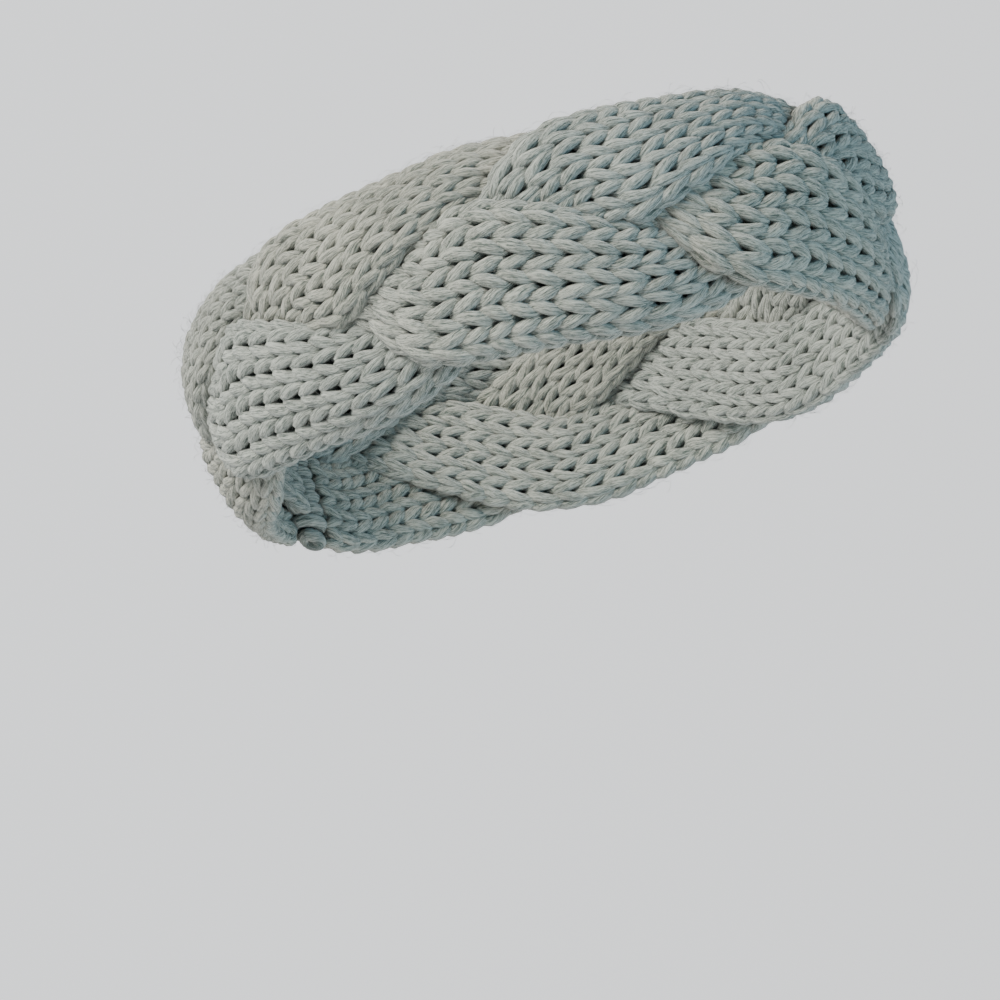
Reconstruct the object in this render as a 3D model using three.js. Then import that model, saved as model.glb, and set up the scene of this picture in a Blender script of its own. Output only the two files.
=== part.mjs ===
import * as THREE from "three";

// An ear warmer headband: three knitted strips plaited flat, over and under, and joined into a loop.
// Millimetres. The front of the band is towards -Y, the seam at the back is towards +Y, up is +Z, and the
// loop's centre is the origin.

// The loop, measured along the middle of the band.
const loopHalfLength = 107.5; // front to back
const loopHalfWidth = 88.2; // side to side
const edgeTurnIn = 6.6; // how far the band's two edges turn in, past its middle
const innerSideShare = 0.9; // the inner side is pressed flatter than the outer side

// The plait.
const bandHeight = 67.4; // lower edge to upper edge, at the outermost bulges
const middleRise = 5.2; // the plait's middle line runs this far above half way up
const stripThickness = 9.4; // one knitted strip, lying flat
const crossings = 13.6; // places where one strip goes over another, round the whole loop
const frontWave = 3; // degrees of the first strip's wave at the middle of the front
const stripGap = 0.4; // air between two strips that press on each other
const waveMargin = 4.6; // degrees along the wave over which a strip also keeps clear of the others

// The knitted surface of one strip.
const columns = 10; // columns of stitches round a strip, each a ridge with a groove beside it
const grooveDepth = 1.1;
const cornerPower = 2.6; // 2 gives an oval section, more gives a squarer one
const spineShare = 0.68; // how far the section's spine reaches towards its ends
const sectionsPerCrossing = 7; // sections of a strip from one crossing to the next

// The join at the back.
const seamWidth = 5; // along the loop
const seamPastEdge = 1.3; // the seam reaches this far past each edge of the band
const seamHeight = bandHeight + 2 * seamPastEdge;
const seamThickness = 19;
const seamSides = 32;
const seamEdgeShare = 0.94; // the seam's two flanks are a little smaller than its middle

// One strip through the first half of its wave, from the middle of the band up to the upper edge and
// back to the middle. In the second half it does the same towards the lower edge, mirrored.
// wave is in degrees, height and halfWidth are shares of half the band's height, outward and halfThick
// are shares of the strip's thickness, and lean tips the section in degrees.
const stripWave = [
  { wave: 0, height: 0.214, halfWidth: 0.668, outward: 0.245, halfThick: 0.521, lean: 12 },
  { wave: 30, height: 0.299, halfWidth: 0.685, outward: 0.415, halfThick: 0.521, lean: 0 },
  { wave: 60, height: 0.449, halfWidth: 0.564, outward: 0.319, halfThick: 0.574, lean: -8 },
  { wave: 90, height: 0.597, halfWidth: 0.411, outward: -0.128, halfThick: 0.787, lean: 3 },
  { wave: 120, height: 0.438, halfWidth: 0.504, outward: -0.447, halfThick: 0.553, lean: 9 },
  { wave: 150, height: 0.153, halfWidth: 0.559, outward: -0.340, halfThick: 0.532, lean: -6 },
];

// Both halves of the wave, in millimetres and radians.
function fullWave() {
  const half = stripWave.map((row) => ({
    height: (row.height * bandHeight) / 2,
    halfWidth: (row.halfWidth * bandHeight) / 2,
    outward: row.outward * stripThickness,
    halfThick: row.halfThick * stripThickness,
    lean: THREE.MathUtils.degToRad(row.lean),
  }));
  const mirrored = half.map((row) => ({ ...row, height: -row.height, lean: -row.lean }));
  return [...half, ...mirrored];
}

const waveRows = fullWave();

// A strip's section at one point of its wave, eased smoothly between the rows.
function sectionAt(degrees) {
  const count = waveRows.length;
  const turn = degrees / 360 - Math.floor(degrees / 360);
  const place = turn * count;
  const first = Math.floor(place) % count;
  const f = place - Math.floor(place);
  const eased = {};
  for (const name of Object.keys(waveRows[0])) {
    const a = waveRows[(first + count - 1) % count][name];
    const b = waveRows[first][name];
    const c = waveRows[(first + 1) % count][name];
    const d = waveRows[(first + 2) % count][name];
    eased[name] =
      0.5 *
      (2 * b + (c - a) * f + (2 * a - 5 * b + 4 * c - d) * f * f + (3 * b - a - 3 * c + d) * f * f * f);
  }
  return eased;
}

// Points at equal steps round a squared oval, from its upper end, as [along the width, along the thickness].
function squaredOval(halfWidth, halfThick, count) {
  const fine = 240;
  const path = [];
  const walked = [0];
  for (let i = 0; i <= fine; i++) {
    const angle = (i / fine) * 2 * Math.PI;
    const c = Math.cos(angle);
    const s = Math.sin(angle);
    const point = [
      halfWidth * Math.sign(c) * Math.abs(c) ** (2 / cornerPower),
      halfThick * Math.sign(s) * Math.abs(s) ** (2 / cornerPower),
    ];
    if (i > 0) {
      const last = path[i - 1];
      walked.push(walked[i - 1] + Math.hypot(point[0] - last[0], point[1] - last[1]));
    }
    path.push(point);
  }
  const points = [];
  let at = 0;
  for (let i = 0; i < count; i++) {
    const goal = (i / count) * walked[fine];
    while (at < fine - 1 && walked[at + 1] < goal) at++;
    const f = (goal - walked[at]) / (walked[at + 1] - walked[at]);
    points.push([
      path[at][0] + f * (path[at + 1][0] - path[at][0]),
      path[at][1] + f * (path[at + 1][1] - path[at][1]),
    ]);
  }
  return points;
}

// From a section's own axes to [height, outward] in the band.
function inBand(section, along, across) {
  const c = Math.cos(section.lean);
  const s = Math.sin(section.lean);
  return [section.height + along * c - across * s, section.outward + along * s + across * c];
}

// How far a point of the band is outside a section (negative inside it), in millimetres.
function outside(section, [height, outward]) {
  const c = Math.cos(section.lean);
  const s = Math.sin(section.lean);
  const h = height - section.height;
  const o = outward - section.outward;
  const along = Math.abs(h * c + o * s) / section.halfWidth;
  const across = Math.abs(o * c - h * s) / section.halfThick;
  return section.halfThick * ((along ** cornerPower + across ** cornerPower) ** (1 / cornerPower) - 1);
}

// The outline of one strip at one point of its wave, pressed flat where it meets the other two strips.
function pressedOutline(degrees) {
  const own = sectionAt(degrees);
  const others = [];
  for (const apart of [120, -120]) {
    for (const ahead of [-waveMargin, 0, waveMargin]) others.push(sectionAt(degrees + apart + ahead));
  }
  const spine = spineShare * Math.max(own.halfWidth - own.halfThick, 0);
  const clear = (point) => {
    const inset = outside(own, point) + stripGap;
    return others.every((other) => inset <= outside(other, point));
  };
  return squaredOval(own.halfWidth, own.halfThick, 2 * columns).map(([along, across], i) => {
    const root = inBand(own, THREE.MathUtils.clamp(along, -spine, spine), 0);
    const rim = inBand(own, along, across);
    const toward = (share) => [root[0] + share * (rim[0] - root[0]), root[1] + share * (rim[1] - root[1])];
    const steps = 32;
    let low = 0;
    while (low < steps && clear(toward((low + 1) / steps))) low++;
    let share = low / steps;
    if (low < steps) {
      let high = (low + 1) / steps;
      for (let n = 0; n < 12; n++) {
        const middle = (share + high) / 2;
        if (clear(toward(middle))) share = middle;
        else high = middle;
      }
    }
    const reach = Math.hypot(rim[0] - root[0], rim[1] - root[1]);
    const groove = i % 2 === 1 ? Math.min(grooveDepth / reach, share * 0.4) : 0;
    return toward(share - groove);
  });
}

// The middle line of the loop, walked from the middle of the front towards +X.
function loopLine() {
  const fine = 1440;
  const angles = [];
  const walked = [0];
  for (let i = 0; i <= fine; i++) {
    angles.push((i / fine) * 2 * Math.PI);
    if (i > 0) {
      const a = angles[i - 1];
      const b = angles[i];
      const dx = loopHalfWidth * (Math.sin(b) - Math.sin(a));
      const dy = loopHalfLength * (Math.cos(a) - Math.cos(b));
      walked.push(walked[i - 1] + Math.hypot(dx, dy));
    }
  }
  return { angles, walked, length: walked[fine] };
}

const loop = loopLine();

// The angle on the loop's oval after walking a share of the way round.
function loopAngle(share) {
  const goal = (share - Math.floor(share)) * loop.length;
  let low = 0;
  let high = loop.walked.length - 1;
  while (high - low > 1) {
    const middle = Math.floor((low + high) / 2);
    if (loop.walked[middle] <= goal) low = middle;
    else high = middle;
  }
  const f = (goal - loop.walked[low]) / (loop.walked[high] - loop.walked[low]);
  return loop.angles[low] + f * (loop.angles[high] - loop.angles[low]);
}

// A point of the band in the part's frame. The band bulges outwards between its two edges.
function onLoop(share, [height, outward]) {
  const angle = loopAngle(share);
  const x = loopHalfWidth * Math.sin(angle);
  const y = -loopHalfLength * Math.cos(angle);
  const tangent = new THREE.Vector2(loopHalfWidth * Math.cos(angle), loopHalfLength * Math.sin(angle));
  tangent.normalize();
  const towardEdge = (height / (bandHeight / 2)) ** 2;
  const out = (outward < 0 ? outward * innerSideShare : outward) - edgeTurnIn * towardEdge;
  const up = height + middleRise * (1 - towardEdge);
  return new THREE.Vector3(x + tangent.y * out, y - tangent.x * out, up);
}

// One closed skin through rings of points that run round the loop, with a flat end at each side.
function skin(rings) {
  const points = rings.flat();
  const size = rings[0].length;
  const faces = [];
  for (let r = 0; r + 1 < rings.length; r++) {
    for (let i = 0; i < size; i++) {
      const a = r * size + i;
      const b = r * size + ((i + 1) % size);
      faces.push(a, b, b + size, a, b + size, a + size);
    }
  }
  const last = (rings.length - 1) * size;
  for (let i = 0; i < size / 2; i++) {
    const j = (size - i) % size;
    const k = size - i - 1;
    if (i > 0) faces.push(j, i + 1, i, last + j, last + i, last + i + 1);
    if (k > i + 1) faces.push(j, k, i + 1, last + j, last + i + 1, last + k);
  }
  const geometry = new THREE.BufferGeometry();
  geometry.setAttribute("position", new THREE.Float32BufferAttribute(points.flatMap((p) => p.toArray()), 3));
  geometry.setIndex(faces);
  geometry.computeVertexNormals();
  return geometry;
}

const group = new THREE.Group();
group.name = "ear_warmer_headband";

// The three knitted strips. Each starts at the back, goes once round the loop and ends at the back again.
const backClear = (seamWidth / 2 + stripGap) / loop.length;
const firstShare = 0.5 + backClear;
const lastShare = 1.5 - backClear;

// Where the strips' sections lie along the loop, with one at every crossing.
function sharesAlongLoop() {
  const shares = [firstShare];
  const nearest = 0.3 * (60 / crossings / 360);
  for (let crossing = -Math.ceil(crossings); crossing <= Math.ceil(crossings); crossing++) {
    for (let step = 0; step < sectionsPerCrossing; step++) {
      const wave = (crossing + step / sectionsPerCrossing) * 60 + 30;
      const share = 1 + (wave - frontWave) / (crossings * 60);
      if (share > firstShare + nearest && share < lastShare - nearest) shares.push(share);
    }
  }
  shares.push(lastShare);
  return shares;
}

const stationShares = sharesAlongLoop();
const strips = [
  { name: "strand_one", wave: 0, colour: 0x9aa39c },
  { name: "strand_two", wave: 120, colour: 0x939d97 },
  { name: "strand_three", wave: 240, colour: 0xa09f94 },
];
for (const strip of strips) {
  const rings = stationShares.map((share) => {
    const wave = frontWave + strip.wave + (share - 1) * crossings * 60;
    return pressedOutline(wave).map((point) => onLoop(share, point));
  });
  const cloth = new THREE.MeshStandardMaterial({ color: strip.colour, roughness: 0.95 });
  const mesh = new THREE.Mesh(skin(rings), cloth);
  mesh.name = strip.name;
  group.add(mesh);
}

// The seam that joins the ends of the strips, across the whole height of the band at the back.
const seamRings = [-1, 0, 1].map((side) => {
  const share = 0.5 + (side * seamWidth) / 2 / loop.length;
  const size = side === 0 ? 1 : seamEdgeShare;
  const outline = squaredOval((size * seamHeight) / 2, (size * seamThickness) / 2, seamSides);
  return outline.map((point) => onLoop(share, point));
});
const seamCloth = new THREE.MeshStandardMaterial({ color: 0x8f9891, roughness: 0.95 });
const seam = new THREE.Mesh(skin(seamRings), seamCloth);
seam.name = "back_seam";
group.add(seam);

export default group;
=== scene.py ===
"""An ear warmer headband: three knitted strips, plaited flat and joined into a loop at the back."""

import math

import bpy
import numpy as np
from mathutils import Matrix, Vector


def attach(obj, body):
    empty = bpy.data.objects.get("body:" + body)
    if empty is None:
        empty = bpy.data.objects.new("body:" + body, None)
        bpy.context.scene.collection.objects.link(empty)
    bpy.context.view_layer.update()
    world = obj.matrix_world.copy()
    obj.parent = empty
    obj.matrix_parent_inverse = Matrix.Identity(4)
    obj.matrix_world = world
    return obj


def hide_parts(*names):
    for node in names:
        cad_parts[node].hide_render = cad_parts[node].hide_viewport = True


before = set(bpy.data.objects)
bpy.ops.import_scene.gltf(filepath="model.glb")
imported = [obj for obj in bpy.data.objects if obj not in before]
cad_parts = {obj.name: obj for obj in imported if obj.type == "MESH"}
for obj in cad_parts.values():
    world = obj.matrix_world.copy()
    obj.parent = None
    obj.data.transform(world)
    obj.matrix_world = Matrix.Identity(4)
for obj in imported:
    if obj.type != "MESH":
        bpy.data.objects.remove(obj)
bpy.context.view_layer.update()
MM = 0.001


# The knitted strips. Each is a flattened tube of plain knitting in thick, loosely twisted yarn. The three
# are plaited flat, over and under, and the plait runs once round the loop. Every stitch is a real loop of
# yarn here, hooked through the loop before it.
LOOP_HALF_LENGTH = 107.5 * MM
LOOP_HALF_WIDTH = 88.2 * MM
EDGE_TURN_IN = 6.6 * MM
INNER_SIDE_SHARE = 0.9
BAND_HEIGHT = 67.4 * MM
MIDDLE_RISE = 5.2 * MM
STRIP_THICKNESS = 9.4 * MM
CROSSINGS = 13.6
FRONT_WAVE = 3
CORNER_POWER = 2.6
SPINE_SHARE = 0.68
STRIP_GAP = -0.8 * MM  # soft yarn, so the strips press a little into each other
SEAM_WIDTH = 5 * MM
# How finely ovals, the loop and the pressing of one strip on another are worked out.
OVAL_STEPS = 240
LOOP_STEPS = 1440
PRESS_STEPS = 32
PRESS_HALVINGS = 10
# The strip's section over half of its wave, a row for each 30 degrees. height and half_width are shares of
# half the band's height, outward and half_thick of the strip's thickness. lean is in degrees.
HALF_WAVE = [
    {"height": 0.214, "half_width": 0.668, "outward": 0.245, "half_thick": 0.521, "lean": 12},
    {"height": 0.299, "half_width": 0.685, "outward": 0.415, "half_thick": 0.521, "lean": 0},
    {"height": 0.449, "half_width": 0.564, "outward": 0.319, "half_thick": 0.574, "lean": -8},
    {"height": 0.597, "half_width": 0.411, "outward": -0.128, "half_thick": 0.787, "lean": 3},
    {"height": 0.438, "half_width": 0.504, "outward": -0.447, "half_thick": 0.553, "lean": 9},
    {"height": 0.153, "half_width": 0.559, "outward": -0.340, "half_thick": 0.532, "lean": -6},
]


def wave_rows():
    """Both halves of a strip's wave: height, half width, outward, half thickness and lean in each row."""
    rows = []
    for mirror in (1, -1):
        for row in HALF_WAVE:
            rows.append(
                [
                    mirror * row["height"] * BAND_HEIGHT / 2,
                    row["half_width"] * BAND_HEIGHT / 2,
                    row["outward"] * STRIP_THICKNESS,
                    row["half_thick"] * STRIP_THICKNESS,
                    mirror * math.radians(row["lean"]),
                ]
            )
    return np.array(rows)


def section_at(degrees):
    """The strip's section at each point of its wave, eased smoothly between the rows."""
    rows = wave_rows()
    count = len(rows)
    place = np.mod(degrees / 360, 1) * count
    first = np.floor(place).astype(int)
    f = (place - first)[:, None]
    a, b, c, d = (rows[(first + k) % count] for k in (-1, 0, 1, 2))
    bend = 2 * a - 5 * b + 4 * c - d
    turn = 3 * b - a - 3 * c + d
    return 0.5 * (2 * b + (c - a) * f + bend * f**2 + turn * f**3)


def outside(section, height, outward):
    """How far points of the band are outside a section, negative inside it."""
    centre, half_width, middle, half_thick, lean = (section[:, None, i] for i in range(5))
    along = (height - centre) * np.cos(lean) + (outward - middle) * np.sin(lean)
    across = (outward - middle) * np.cos(lean) - (height - centre) * np.sin(lean)
    far = (np.abs(along) / half_width) ** CORNER_POWER + (np.abs(across) / half_thick) ** CORNER_POWER
    return half_thick * (far ** (1 / CORNER_POWER) - 1)


def squared_oval(half_width, half_thick, count):
    """Points at equal steps round squared ovals, starting at their upper ends."""
    angle = np.linspace(0, 2 * math.pi, OVAL_STEPS + 1)
    c, s = np.cos(angle), np.sin(angle)
    unit_along = np.sign(c) * np.abs(c) ** (2 / CORNER_POWER)
    unit_across = np.sign(s) * np.abs(s) ** (2 / CORNER_POWER)
    along = np.empty((len(half_width), count))
    across = np.empty((len(half_width), count))
    for i in range(len(half_width)):
        x = half_width[i] * unit_along
        y = half_thick[i] * unit_across
        walked = np.concatenate([[0], np.cumsum(np.hypot(np.diff(x), np.diff(y)))])
        goal = np.arange(count) / count * walked[-1]
        along[i] = np.interp(goal, walked, x)
        across[i] = np.interp(goal, walked, y)
    return along, across


def pressed_outlines(degrees, count):
    """Outlines of a strip at points of its wave, pressed flat where it meets the other two strips."""
    own = section_at(degrees)
    others = [section_at(degrees + 120), section_at(degrees - 120)]
    along, across = squared_oval(own[:, 1], own[:, 3], count)
    spine = SPINE_SHARE * np.maximum(own[:, 1] - own[:, 3], 0)[:, None]
    c, s = np.cos(own[:, 4])[:, None], np.sin(own[:, 4])[:, None]
    root_along = np.clip(along, -spine, spine)
    root = np.stack([own[:, 0, None] + root_along * c, own[:, 2, None] + root_along * s], axis=-1)
    rim_height = own[:, 0, None] + along * c - across * s
    rim = np.stack([rim_height, own[:, 2, None] + along * s + across * c], axis=-1)

    def clear(share):
        """Whether points this share of the way from spine to rim keep clear of the other strips."""
        point = root + share[..., None] * (rim - root)
        inset = outside(own, point[..., 0], point[..., 1]) + STRIP_GAP
        return np.all([inset <= outside(o, point[..., 0], point[..., 1]) for o in others], axis=0)

    low = np.zeros(along.shape)
    still = np.ones(along.shape, bool)
    for n in range(1, PRESS_STEPS + 1):
        still &= clear(np.full(along.shape, n / PRESS_STEPS))
        low = np.where(still, n / PRESS_STEPS, low)
    high = np.minimum(low + 1 / PRESS_STEPS, 1)
    for _ in range(PRESS_HALVINGS):
        middle = (low + high) / 2
        good = clear(middle)
        low = np.where(good, middle, low)
        high = np.where(good, high, middle)
    return root + low[..., None] * (rim - root)


def loop_angle(share):
    """The angle on the loop's oval after walking a share of the way round from the middle of the front."""
    angle = np.linspace(0, 2 * math.pi, LOOP_STEPS + 1)
    steps = np.hypot(LOOP_HALF_WIDTH * np.diff(np.sin(angle)), LOOP_HALF_LENGTH * np.diff(np.cos(angle)))
    walked = np.concatenate([[0], np.cumsum(steps)])
    return np.interp(np.mod(share, 1) * walked[-1], walked, angle), walked[-1]


def on_loop(share, height, outward):
    """Points of the band in the frame, one row of them for each share. The band bulges between its edges."""
    angle, _ = loop_angle(share)
    tangent = np.stack([LOOP_HALF_WIDTH * np.cos(angle), LOOP_HALF_LENGTH * np.sin(angle)], axis=-1)
    tangent /= np.linalg.norm(tangent, axis=-1, keepdims=True)
    toward_edge = (height / (BAND_HEIGHT / 2)) ** 2
    out = np.where(outward < 0, outward * INNER_SIDE_SHARE, outward) - EDGE_TURN_IN * toward_edge
    x = (LOOP_HALF_WIDTH * np.sin(angle))[:, None] + tangent[:, 1:2] * out
    y = (-LOOP_HALF_LENGTH * np.cos(angle))[:, None] - tangent[:, 0:1] * out
    return np.stack([x, y, height + MIDDLE_RISE * (1 - toward_edge)], axis=-1)


def tube_mesh(name, paths, radii, normals, depths, sides):
    """One mesh of round, closed yarns. paths is (yarns, points, 3); normals keep the rings from twisting."""
    yarns, points = paths.shape[:2]
    ahead = np.roll(paths, -1, axis=1) - np.roll(paths, 1, axis=1)
    ahead /= np.linalg.norm(ahead, axis=-1, keepdims=True)
    up = normals - ahead * np.sum(normals * ahead, axis=-1, keepdims=True)
    up /= np.linalg.norm(up, axis=-1, keepdims=True)
    side = np.cross(ahead, up)
    turn = np.arange(sides) / sides * 2 * math.pi
    rings = up[:, :, None] * np.cos(turn)[:, None] + side[:, :, None] * np.sin(turn)[:, None]
    vertices = (paths[:, :, None] + rings * radii[:, :, None, None]).reshape(-1, 3)
    i, j, k = np.meshgrid(np.arange(yarns), np.arange(points), np.arange(sides), indexing="ij")
    next_j = (j + 1) % points
    next_k = (k + 1) % sides
    base = i * points * sides
    corners = [j * sides + k, j * sides + next_k, next_j * sides + next_k, next_j * sides + k]
    faces = np.stack([base + corner for corner in corners], axis=-1).reshape(-1, 4)
    mesh = bpy.data.meshes.new(name)
    mesh.vertices.add(len(vertices))
    mesh.vertices.foreach_set("co", vertices.astype(np.float32).ravel())
    mesh.loops.add(faces.size)
    mesh.loops.foreach_set("vertex_index", faces.astype(np.int32).ravel())
    mesh.polygons.add(len(faces))
    mesh.polygons.foreach_set("loop_start", np.arange(0, faces.size, 4, dtype=np.int32))
    mesh.update(calc_edges=True)
    mesh.polygons.foreach_set("use_smooth", np.ones(len(faces), bool))

    # Where each point lies in its yarn, for the fibres, and how deep in the knitting, for the painted shade.
    step = np.linalg.norm(np.diff(paths, axis=1), axis=-1)
    along = np.concatenate([np.zeros((yarns, 1)), np.cumsum(step, axis=1)], axis=1)
    twist = turn + YARN_TWIST * along[:, :, None]
    length = along[:, :, None] / MM + YARN_APART * np.arange(yarns)[:, None, None]
    fibre = np.stack([np.broadcast_to(length, twist.shape), np.cos(twist), np.sin(twist)], axis=-1)
    layer = mesh.attributes.new("fibre", "FLOAT_VECTOR", "POINT")
    layer.data.foreach_set("vector", fibre.astype(np.float32).ravel())
    below = (depths[:, :, None] - radii[:, :, None] * np.cos(turn)) / MM
    layer = mesh.attributes.new("below", "FLOAT", "POINT")
    layer.data.foreach_set("value", below.astype(np.float32).ravel())
    return mesh


COLUMNS = 10
COURSES = 84
USUAL_COLUMN = 8.8 * MM
YARN_TWIST = 0.1 / MM
YARN_APART = 37
YARN_SIDES = 7
SKIN_COLUMNS = 60
SKIN_PER_COURSE = 3
STITCH_SQUARENESS = 0.85
EDGE_ROUNDING = 4
FLUFF = 0.7 * MM
END_COURSES = 4
INSIDE_SHARE = 0.75
THINNEST_RADIUS = 1.2 * MM
PLUMPNESS_RANGE = (0.75, 1.15)
# How much one stitch differs from the next: in columns, as a share of its reach, in courses, as a share
# of the yarn's radius, and in depth.
UNEVEN_ACROSS = 0.035
UNEVEN_REACH = 0.08
UNEVEN_ALONG = 0.05
UNEVEN_RADIUS = 0.04
UNEVEN_DEPTH = 0.2 * MM
# The yarn's way through half a stitch, from the arc between two stitches, up one leg and over to the
# middle of the next arc. across is in columns, along in courses, depth and radius in millimetres.
HALF_STITCH = [
    {"across": 0.00, "along": 0.80, "depth": 4.5, "radius": 1.9},
    {"across": 0.20, "along": 0.89, "depth": 4.2, "radius": 1.8},
    {"across": 0.385, "along": 0.68, "depth": 3.1, "radius": 1.8},
    {"across": 0.37, "along": 0.38, "depth": 2.2, "radius": 2.0},
    {"across": 0.30, "along": 0.10, "depth": 1.8, "radius": 2.1},
    {"across": 0.205, "along": -0.18, "depth": 1.9, "radius": 2.15},
    {"across": 0.11, "along": -0.46, "depth": 2.7, "radius": 2.0},
    {"across": 0.18, "along": -0.72, "depth": 4.1, "radius": 1.8},
    {"across": 0.50, "along": -0.80, "depth": 4.5, "radius": 1.9},
]


def whole_round():
    """The yarn's way once round a strip: column by column, the second half of each stitch mirrored."""
    keys = ("across", "along", "depth", "radius")
    half = np.array([[row[key] for key in keys] for row in HALF_STITCH])
    mirrored = half[-2:0:-1] * (-1, 1, 1, 1) + (1, 0, 0, 0)
    stitch = np.concatenate([half, mirrored])
    columns = np.repeat(np.arange(COLUMNS), len(stitch))
    way = np.tile(stitch, (COLUMNS, 1))
    way[:, 0] += columns
    return way, columns


def softened(grid, rows_wide, columns_wide):
    """A grid of values on a strip's skin, averaged with its neighbours along the strip and round it."""
    for _ in range(rows_wide):
        padded = np.concatenate([grid[:1], grid, grid[-1:]])
        grid = 0.5 * grid + 0.25 * (padded[:-2] + padded[2:])
    for _ in range(columns_wide):
        grid = 0.5 * grid + 0.25 * (np.roll(grid, 1, axis=1) + np.roll(grid, -1, axis=1))
    return grid


def evenly_spaced(skin):
    """The skin with its points moved round each section to equal steps, from the same first point."""
    closed = np.concatenate([skin, skin[:, :1]], axis=1)
    step = np.linalg.norm(np.diff(closed, axis=1), axis=-1)
    walked = np.concatenate([np.zeros((len(skin), 1)), np.cumsum(step, axis=1)], axis=1)
    even = np.empty_like(skin)
    for i, section in enumerate(closed):
        goal = np.arange(SKIN_COLUMNS) / SKIN_COLUMNS * walked[i, -1]
        for axis in range(3):
            even[i, :, axis] = np.interp(goal, walked[i], section[:, axis])
    return even


def knit_strip(first_wave, direction, seed):
    """A strip's yarn: closed rounds of stitches, one after the other, with radii, normals and depths."""
    rng = np.random.default_rng(seed)
    _, loop_length = loop_angle(np.array([0.0]))
    ends = SEAM_WIDTH / 2 / loop_length
    rows = COURSES * SKIN_PER_COURSE + 1
    share = np.linspace(0.5 + ends, 1.5 - ends, rows)
    wave = FRONT_WAVE + first_wave + (share - 1) * CROSSINGS * 60
    outline = pressed_outlines(wave, SKIN_COLUMNS)
    skin = on_loop(share, outline[..., 0], outline[..., 1])
    for _ in range(EDGE_ROUNDING):
        skin = evenly_spaced(softened(skin, 0, 2))
    skin = softened(skin, 3, 0)
    round_step = (np.roll(skin, -1, axis=1) - np.roll(skin, 1, axis=1)) / 2
    along_step = np.gradient(skin, axis=0)
    outwards = np.cross(along_step, round_step)
    outwards /= np.linalg.norm(outwards, axis=-1, keepdims=True)
    if np.mean(np.sum(outwards * (skin - skin.mean(axis=1, keepdims=True)), axis=-1)) < 0:
        outwards = -outwards
    skin = skin + outwards * FLUFF
    column_width = np.linalg.norm(round_step, axis=-1) * SKIN_COLUMNS / COLUMNS
    room = np.full(skin.shape[:2], 2 * STRIP_THICKNESS)
    for apart in range(3, SKIN_COLUMNS - 2):
        across_strip = np.roll(skin, -apart, axis=1) - skin
        inwards = np.maximum(-np.sum(across_strip * outwards, axis=-1), 0.01 * MM)
        room = np.minimum(room, np.sum(across_strip**2, axis=-1) / (2 * inwards))
    room = softened(room, 1, 1)

    # The courses lie square to the columns, so they slip along a strip that runs slantwise.
    slip_rate = -np.sum(along_step * round_step, axis=-1) / np.sum(along_step**2, axis=-1)
    slip = np.cumsum(slip_rate, axis=1) - slip_rate / 2
    slip -= slip[:, -1:] * (np.arange(SKIN_COLUMNS) + 0.5) / SKIN_COLUMNS
    slip = softened(slip - slip.mean(axis=1, keepdims=True), 10, 3) * STITCH_SQUARENESS
    from_end = np.minimum(np.arange(rows), np.arange(rows)[::-1]) / (END_COURSES * SKIN_PER_COURSE)
    slip *= np.clip(from_end, 0, 1)[:, None]

    way, column_of = whole_round()
    grip = np.sin(np.arange(len(way)) / (len(way) / COLUMNS) * math.pi) ** 2

    def uneven(spread):
        """Small changes, one for each stitch, that fade out where one stitch runs into the next."""
        return grip * rng.normal(0, spread, (COURSES, COLUMNS))[:, column_of]

    across = (way[:, 0] + uneven(UNEVEN_ACROSS)) / COLUMNS
    reach = direction * way[:, 1] * (1 + uneven(UNEVEN_REACH)) + uneven(UNEVEN_ALONG)
    along = np.arange(COURSES)[:, None] + 0.5 + reach
    column = np.mod(across, 1) * SKIN_COLUMNS
    c0 = np.floor(column).astype(int) % SKIN_COLUMNS
    c1 = (c0 + 1) % SKIN_COLUMNS
    fc = (column - np.floor(column))[..., None]

    def sampled(grid, row):
        """A grid of values on the skin, read between its rows and columns."""
        r0 = np.clip(np.floor(row).astype(int), 0, rows - 2)
        fr = (row - r0)[..., None]
        near = grid[r0, c0] * (1 - fc) + grid[r0, c1] * fc
        far = grid[r0 + 1, c0] * (1 - fc) + grid[r0 + 1, c1] * fc
        return near * (1 - fr) + far * fr

    row = np.clip(along * SKIN_PER_COURSE, 0, rows - 1)
    row = np.clip(row + sampled(slip[..., None], row)[..., 0], 0.3, rows - 1.3)
    normal = sampled(outwards, row)
    normal /= np.linalg.norm(normal, axis=-1, keepdims=True)
    plumpness = sampled(column_width[..., None], row)[..., 0] / USUAL_COLUMN
    plumpness = np.clip(plumpness, *PLUMPNESS_RANGE)
    inside = sampled(room[..., None], row)[..., 0]
    full_radii = way[:, 3] * MM * plumpness * (1 + uneven(UNEVEN_RADIUS))
    radii = np.minimum(full_radii, np.maximum(INSIDE_SHARE * inside, THINNEST_RADIUS))
    full_depth = way[:, 2] * MM * plumpness - uneven(UNEVEN_DEPTH)
    depth = np.minimum(full_depth, np.maximum(inside, radii))
    paths = sampled(skin, row) - normal * depth[..., None]
    return paths, radii, normal, depth


LOOSE_FIBRES = 5600
FIBRE_RADIUS = 0.045 * MM
FIBRE_LENGTHS = (2.5 * MM, 7.0 * MM)
FIBRE_LIFTS = (0.08, 0.42)
FIBRE_SIDES = 3
FIBRE_LEAN = 0.7
FIBRE_DRIFT = 0.3
FIBRE_ROOT = 0.92
FIBRE_BOW = 0.8
SHOWN_DEPTH = 3.2 * MM


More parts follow.
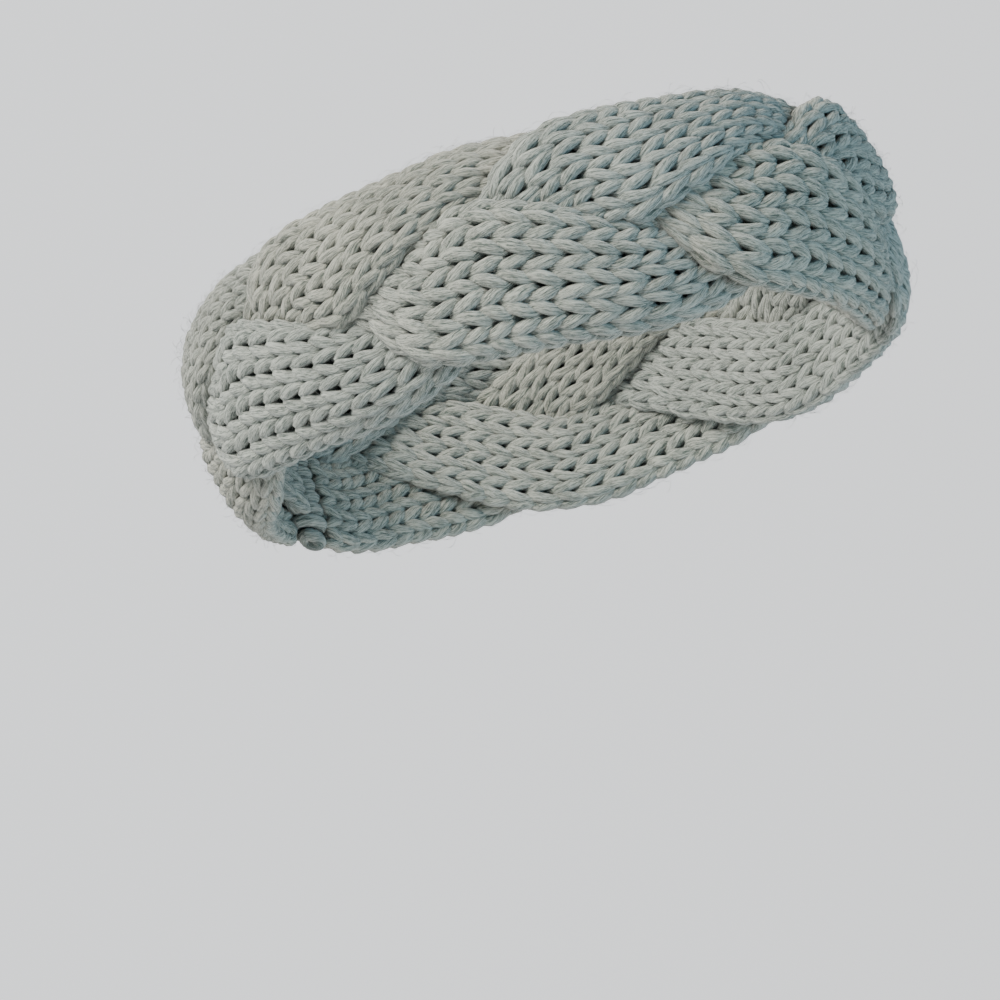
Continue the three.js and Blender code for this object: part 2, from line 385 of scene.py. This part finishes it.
def loose_fibres(name, paths, radii, normals, depths, seed):
    """Fine ends of fibre that stand off the yarn, each a thin closed spindle bowed back towards it."""
    rng = np.random.default_rng(seed)
    ahead = np.roll(paths, -1, axis=1) - np.roll(paths, 1, axis=1)
    ahead /= np.linalg.norm(ahead, axis=-1, keepdims=True)
    shown = np.argwhere(depths < SHOWN_DEPTH)
    yarn, point = shown[rng.integers(0, len(shown), LOOSE_FIBRES)].T
    way = ahead[yarn, point] * rng.choice((-1, 1), LOOSE_FIBRES)[:, None]
    side = np.cross(way, normals[yarn, point])
    lean = rng.normal(0, FIBRE_LEAN, LOOSE_FIBRES)[:, None]
    outward = normals[yarn, point] * np.cos(lean) + side * np.sin(lean)
    length = rng.uniform(*FIBRE_LENGTHS, LOOSE_FIBRES)[:, None]
    lift = rng.uniform(*FIBRE_LIFTS, LOOSE_FIBRES)[:, None]
    drift = rng.normal(0, FIBRE_DRIFT, LOOSE_FIBRES)[:, None]
    root = paths[yarn, point] + outward * radii[yarn, point, None] * FIBRE_ROOT
    share = np.linspace(0, 1, 5)[None, :, None]
    run = (way + side * drift)[:, None] * length[:, None] * share
    rise = outward[:, None] * (length * lift)[:, None] * np.sin(share * math.pi * FIBRE_BOW)
    line = root[:, None] + run + rise
    turn = np.arange(FIBRE_SIDES) / FIBRE_SIDES * 2 * math.pi
    ring = outward[:, None] * np.cos(turn)[:, None] + side[:, None] * np.sin(turn)[:, None]
    rings = (line[:, 1:4, None] + ring[:, None] * FIBRE_RADIUS).reshape(LOOSE_FIBRES, -1, 3)
    vertices = np.concatenate([line[:, :1], rings, line[:, 4:]], axis=1)
    corners = []
    for k in range(FIBRE_SIDES):
        after = (k + 1) % FIBRE_SIDES
        corners.append((0, 1 + after, 1 + k))
        for first in (1, 1 + FIBRE_SIDES):
            beyond = first + FIBRE_SIDES
            corners.append((first + k, first + after, beyond + after))
            corners.append((first + k, beyond + after, beyond + k))
        last = 1 + 2 * FIBRE_SIDES
        corners.append((last + k, last + after, last + FIBRE_SIDES))
    faces = np.array(corners) + np.arange(LOOSE_FIBRES)[:, None, None] * vertices.shape[1]
    mesh = bpy.data.meshes.new(name)
    mesh.from_pydata(vertices.reshape(-1, 3), [], faces.reshape(-1, 3))
    mesh.polygons.foreach_set("use_smooth", np.ones(len(mesh.polygons), bool))
    layer = mesh.attributes.new("fibre", "FLOAT_VECTOR", "POINT")
    layer.data.foreach_set("vector", (vertices / MM).astype(np.float32).ravel())
    return mesh


def yarn_material(name, shade):
    """Soft matt yarn of a few twisted plies, with streaks of fibres, slow changes of dye, a little sheen and
    painted shade.
    """
    material = bpy.data.materials.new(name)
    material.use_nodes = True
    nodes, links = material.node_tree.nodes, material.node_tree.links
    shader = nodes["Principled BSDF"]
    shader.inputs["Roughness"].default_value = 0.92
    shader.inputs["Specular IOR Level"].default_value = 0.25
    shader.inputs["Sheen Weight"].default_value = 0.3
    shader.inputs["Sheen Roughness"].default_value = 0.5

    def worked_out(operation, *values):
        """A math node on sockets or numbers, and its result."""
        node = nodes.new("ShaderNodeMath")
        node.operation = operation
        for socket, value in zip(node.inputs, values):
            if isinstance(value, (int, float)):
                socket.default_value = value
            else:
                links.new(value, socket)
        return node.outputs[0]

    def noise(vector, scale, detail, roughness):
        """A noise texture's value on a vector socket."""
        node = nodes.new("ShaderNodeTexNoise")
        node.inputs["Scale"].default_value = scale
        node.inputs["Detail"].default_value = detail
        node.inputs["Roughness"].default_value = roughness
        links.new(vector, node.inputs["Vector"])
        return node.outputs["Fac"]

    fibre = nodes.new("ShaderNodeAttribute")
    fibre.attribute_name = "fibre"
    stretched = nodes.new("ShaderNodeVectorMath")
    stretched.operation = "MULTIPLY"
    stretched.inputs[1].default_value = (0.06, 1, 1)
    links.new(fibre.outputs["Vector"], stretched.inputs[0])
    fine = noise(stretched.outputs[0], scale=7.5, detail=3, roughness=0.6)
    broad = noise(stretched.outputs[0], scale=2.6, detail=3, roughness=0.6)
    parts = nodes.new("ShaderNodeSeparateXYZ")
    links.new(fibre.outputs["Vector"], parts.inputs[0])
    round_yarn = worked_out("ARCTAN2", parts.outputs["Z"], parts.outputs["Y"])
    slow = noise(stretched.outputs[0], scale=1.1, detail=3, roughness=0.5)
    wander = worked_out("MULTIPLY", slow, 6.0)
    plies = worked_out("ABSOLUTE", worked_out("SINE", worked_out("MULTIPLY_ADD", round_yarn, 3.5, wander)))
    plies = worked_out("POWER", plies, 0.6)
    streaks = worked_out("MULTIPLY_ADD", fine, 1.7, worked_out("MULTIPLY", broad, 0.7))
    relief = worked_out("MULTIPLY_ADD", plies, 0.2, worked_out("SUBTRACT", streaks, 0.68))
    place = nodes.new("ShaderNodeTexCoord")
    dye = noise(place.outputs["Object"], scale=55, detail=3, roughness=0.5)
    # Painted shade: the colour is made darker the deeper a point lies in the knitting, from 0.6 to 3.6 mm below
    # the surface.
    below = nodes.new("ShaderNodeAttribute")
    below.attribute_name = "below"
    painted_depth_shade = nodes.new("ShaderNodeMapRange")
    painted_depth_shade.interpolation_type = "SMOOTHSTEP"
    painted_depth_shade.inputs["From Min"].default_value = 0.6
    painted_depth_shade.inputs["From Max"].default_value = 3.6
    painted_depth_shade.inputs["To Min"].default_value = 0
    painted_depth_shade.inputs["To Max"].default_value = 0.45
    links.new(below.outputs["Fac"], painted_depth_shade.inputs["Value"])
    # The colour follows the relief as well as the dye. The ply grooves are painted darker, painted shade, and
    # the fibre streaks vary the tone.
    light = worked_out("MULTIPLY_ADD", dye, 0.3, relief)
    light = worked_out("SUBTRACT", light, painted_depth_shade.outputs[0])
    ramp = nodes.new("ShaderNodeValToRGB")
    ramp.color_ramp.elements[0].position = 0.54
    ramp.color_ramp.elements[0].color = (0.16 * shade[0], 0.21 * shade[1], 0.2 * shade[2], 1)
    ramp.color_ramp.elements[1].position = 1.0
    ramp.color_ramp.elements[1].color = (*shade, 1)
    links.new(light, ramp.inputs["Fac"])
    links.new(ramp.outputs["Color"], shader.inputs["Base Color"])
    bump = nodes.new("ShaderNodeBump")
    bump.inputs["Strength"].default_value = 1
    bump.inputs["Distance"].default_value = 0.6 * MM
    links.new(relief, bump.inputs["Height"])
    links.new(bump.outputs["Normal"], shader.inputs["Normal"])
    return material


# Two of the strips were knitted the other way along, so their stitches point the other way.
STRIPS = [
    {"node": "strand_one", "wave": 0, "direction": -1, "seed": 11, "shade": (0.365, 0.385, 0.34)},
    {"node": "strand_two", "wave": 120, "direction": 1, "seed": 12, "shade": (0.355, 0.385, 0.35)},
    {"node": "strand_three", "wave": 240, "direction": -1, "seed": 13, "shade": (0.375, 0.385, 0.33)},
]
for strip in STRIPS:
    paths, radii, normals, depths = knit_strip(strip["wave"], strip["direction"], strip["seed"])
    yarn = yarn_material(strip["node"] + "_yarn", strip["shade"])
    knitting = tube_mesh(strip["node"] + "_knitting", paths, radii, normals, depths, YARN_SIDES)
    fuzz = loose_fibres(strip["node"] + "_fuzz", paths, radii, normals, depths, strip["seed"])
    for mesh in (knitting, fuzz):
        mesh.materials.append(yarn)
        piece = bpy.data.objects.new(mesh.name, mesh)
        bpy.context.scene.collection.objects.link(piece)
        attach(piece, "root")
        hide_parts(strip["node"])


# The seam at the back. The ends of the strips are drawn together and bound with the same yarn,
# wound round and round the join from its lower edge to its upper edge.
SEAM_PAST_EDGE = 0.8 * MM
SEAM_HEIGHT = BAND_HEIGHT + 2 * SEAM_PAST_EDGE
SEAM_THICKNESS = 19 * MM
SEAM_WINDS = 18
SEAM_YARN = 2.15 * MM
SEAM_HALF_SPREAD = 4.2 * MM
SEAM_SLANT = 1.2 * MM
SEAM_POINTS = 36
SEAM_SIDES = 10
SEAM_SUNK = 0.6
SEAM_CLOSED = 0.9
turn = np.arange(SEAM_POINTS) / SEAM_POINTS * 2 * math.pi
level = (np.arange(SEAM_WINDS) + 0.5) / SEAM_WINDS * 2 - 1
fullness = (1 - np.abs(level) ** CORNER_POWER) ** (1 / CORNER_POWER)
half_deep = SEAM_THICKNESS / 2 * fullness - SEAM_YARN * SEAM_SUNK
half_wide = np.full(SEAM_WINDS, SEAM_HALF_SPREAD)
# The first and the last wind close up, so that no hole is left at the seam's two ends.
half_deep[[0, -1]] = SEAM_YARN * SEAM_CLOSED
half_wide[[0, -1]] = SEAM_YARN * SEAM_CLOSED
seam_share = 0.5 + (half_wide[:, None] * np.cos(turn)).ravel() / loop_angle(0.5)[1]
seam_height = (level * (SEAM_HEIGHT / 2 - SEAM_YARN))[:, None] + SEAM_SLANT * np.cos(turn)
seam_outward = half_deep[:, None] * np.sin(turn)
winds = on_loop(seam_share, seam_height.reshape(-1, 1), seam_outward.reshape(-1, 1))
winds = winds.reshape(SEAM_WINDS, -1, 3)
facing_along = -np.cos(turn) / SEAM_HALF_SPREAD
facing_outward = np.sin(turn) / SEAM_THICKNESS * 2
seam_normals = np.stack([facing_along, facing_outward, 0 * turn], axis=-1)
seam_normals /= np.linalg.norm(seam_normals, axis=-1, keepdims=True)
seam_normals = np.broadcast_to(seam_normals, winds.shape)
seam_radii = np.full(winds.shape[:2], SEAM_YARN)
# Its depth is its own radius, so the yarn's painted shade darkens each wind on the side that faces into the
# join.
binding = tube_mesh("back_seam_binding", winds, seam_radii, seam_normals, seam_radii, SEAM_SIDES)
binding.materials.append(yarn_material("back_seam_yarn", (0.35, 0.37, 0.33)))
seam_piece = bpy.data.objects.new("back_seam_binding", binding)
bpy.context.scene.collection.objects.link(seam_piece)
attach(seam_piece, "root")
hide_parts("back_seam")


# The room: a plain pale floor far below the band, which hangs at the height where it is worn, and soft
# light from the upper left, with a cooler fill from the right.
FLOOR_DROP = 0.62
FLOOR_RADIUS = 6.0
bpy.ops.mesh.primitive_circle_add(
    vertices=96, radius=FLOOR_RADIUS, fill_type="NGON", location=(0, 0, -FLOOR_DROP)
)
floor = bpy.context.object
floor.name = "floor"
floor_paint = bpy.data.materials.new("floor_paint")
floor_paint.use_nodes = True
floor_shader = floor_paint.node_tree.nodes["Principled BSDF"]
floor_shader.inputs["Base Color"].default_value = (0.72, 0.73, 0.74, 1)
floor_shader.inputs["Roughness"].default_value = 0.9
floor.data.materials.append(floor_paint)

# The camera stands a little below the band and looks up at it, from the front left quarter.
VIEW_AZIMUTH = -57.9
VIEW_ELEVATION = -16.9
VIEW_ROLL = -14.8
VIEW_DISTANCE = 1.3
SENSOR_WIDTH = 36
PIXELS = 1000
PIXELS_PER_METRE = 3298
CENTRE_PIXEL = (543, 333)
azimuth, elevation, roll = (math.radians(v) for v in (VIEW_AZIMUTH, VIEW_ELEVATION, VIEW_ROLL))
back = Vector(
    (
        math.sin(azimuth) * math.cos(elevation),
        -math.cos(azimuth) * math.cos(elevation),
        math.sin(elevation),
    )
)
level_right = Vector((math.cos(azimuth), math.sin(azimuth), 0))
level_up = back.cross(level_right)
right = level_right * math.cos(roll) + level_up * math.sin(roll)
up = level_up * math.cos(roll) - level_right * math.sin(roll)
aim = right * (PIXELS / 2 - CENTRE_PIXEL[0]) / PIXELS_PER_METRE
aim -= up * (PIXELS / 2 - CENTRE_PIXEL[1]) / PIXELS_PER_METRE
camera_data = bpy.data.cameras.new("camera")
camera_data.sensor_width = SENSOR_WIDTH
camera_data.lens = SENSOR_WIDTH * VIEW_DISTANCE * PIXELS_PER_METRE / PIXELS
camera = bpy.data.objects.new("camera", camera_data)
bpy.context.scene.collection.objects.link(camera)
bpy.context.scene.camera = camera
place = back * VIEW_DISTANCE
toward = (place - aim).normalized()
straight_right = up.cross(toward).normalized()
straight_up = toward.cross(straight_right)
turned = Matrix((straight_right, straight_up, toward)).transposed().to_4x4()
camera.matrix_world = Matrix.Translation(place) @ turned

# The room's own light is soft and white, brighter behind the band and on its left.
ROOM_NEAR = 0.26
ROOM_FAR = 1.38
ROOM_SIDEWAYS = 0.9
world = bpy.context.scene.world or bpy.data.worlds.new("room")
bpy.context.scene.world = world
world.use_nodes = True
room_nodes, room_links = world.node_tree.nodes, world.node_tree.links
room_nodes["Background"].inputs["Color"].default_value = (0.96, 0.98, 1.0, 1)
room_direction = room_nodes.new("ShaderNodeTexCoord")
facing = room_nodes.new("ShaderNodeVectorMath")
facing.operation = "DOT_PRODUCT"
facing.inputs[1].default_value = -(back + right * ROOM_SIDEWAYS).normalized()
room_links.new(room_direction.outputs["Generated"], facing.inputs[0])
brightness = room_nodes.new("ShaderNodeMapRange")
brightness.interpolation_type = "SMOOTHSTEP"
brightness.inputs["From Min"].default_value = -0.6
brightness.inputs["From Max"].default_value = 0.9
brightness.inputs["To Min"].default_value = ROOM_NEAR
brightness.inputs["To Max"].default_value = ROOM_FAR
room_links.new(facing.outputs["Value"], brightness.inputs["Value"])
room_links.new(brightness.outputs[0], room_nodes["Background"].inputs["Strength"])

LIGHTS = [
    {"name": "key", "right": -1.05, "up": 1.0, "near": 0.6, "size": 0.9,
     "watts": 66, "colour": (1.0, 0.95, 0.87)},
    {"name": "fill", "right": 1.1, "up": 0.1, "near": 0.7, "size": 1.0,
     "watts": 13, "colour": (0.24, 0.72, 1.0)},
]
for lamp in LIGHTS:
    light = bpy.data.lights.new(lamp["name"], "AREA")
    light.shape = "DISK"
    light.size = lamp["size"]
    light.energy = lamp["watts"]
    light.color = lamp["colour"]
    holder = bpy.data.objects.new(lamp["name"], light)
    holder.location = right * lamp["right"] + up * lamp["up"] + back * lamp["near"]
    holder.rotation_mode = "QUATERNION"
    holder.rotation_quaternion = holder.location.to_track_quat("Z", "Y")
    bpy.context.scene.collection.objects.link(holder)
